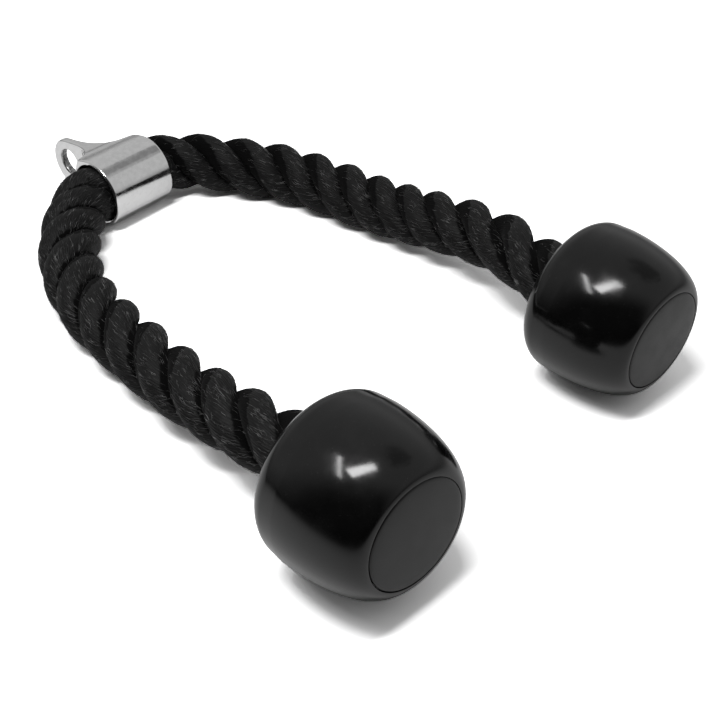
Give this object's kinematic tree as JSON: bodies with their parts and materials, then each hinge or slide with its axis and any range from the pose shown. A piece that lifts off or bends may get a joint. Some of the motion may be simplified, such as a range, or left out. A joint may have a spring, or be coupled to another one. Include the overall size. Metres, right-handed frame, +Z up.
{
  "type": "triceps rope attachment",
  "caption": "Thick laid rope drawn through a steel eye ferrule, with a rounded moulded stopper that turns on each end.",
  "frame": {"origin": "on the floor, under the middle of the box round the ferrule and the stoppers", "axes": "+X along the ferrule's sleeve, +Y towards the eye with both legs of the rope running to -Y, +Z up"},
  "size_m": [0.2366, 0.36, 0.073],
  "materials": {
    "ferrule_chrome": "polished plating",
    "steel": "plain zinc-plated",
    "rope_nylon": "black laid nylon yarn",
    "knob_rubber": "smooth glossy black",
    "cap_plastic": "satin black"
  },
  "bodies": {
    "ferrule": {"eye_ferrule": "ferrule_chrome", "rope_core": "rope_nylon", "left_mouth_rope": "rope_nylon", "right_mouth_rope": "rope_nylon"},
    "left_leg": {"left_leg_rope": "rope_nylon", "left_rope_end": "rope_nylon", "left_washer": "steel", "left_crimp_band": "steel"},
    "left_stopper": {"left_knob": "knob_rubber", "left_end_cap": "cap_plastic"},
    "right_leg": {"right_leg_rope": "rope_nylon", "right_rope_end": "rope_nylon", "right_washer": "steel", "right_crimp_band": "steel"},
    "right_stopper": {"right_knob": "knob_rubber", "right_end_cap": "cap_plastic"}
  },
  "joints": [
    {"name": "left_leg_swing", "type": "hinge", "parent": "ferrule", "child": "left_leg", "pos_m": [-0.01589, 0.11212, 0.01797], "axis": [0, 0, -1], "range_deg": [-8, 60], "deforming": ["left_leg_rope"]},
    {"name": "right_leg_swing", "type": "hinge", "parent": "ferrule", "child": "right_leg", "pos_m": [0.06801, 0.11112, 0.01741], "axis": [0, 0, 1], "range_deg": [-8, 60], "deforming": ["right_leg_rope"]},
    {"name": "left_stopper_swivel", "type": "hinge", "parent": "left_leg", "child": "left_stopper", "pos_m": [-0.0775, -0.116, 0.03498], "axis": [-0.111, -0.9898, 0.0889], "continuous": true},
    {"name": "right_stopper_swivel", "type": "hinge", "parent": "right_leg", "child": "right_stopper", "pos_m": [0.0814, -0.1249, 0.03626], "axis": [-0.1149, -0.9933, 0.0087], "continuous": true}
  ]
}
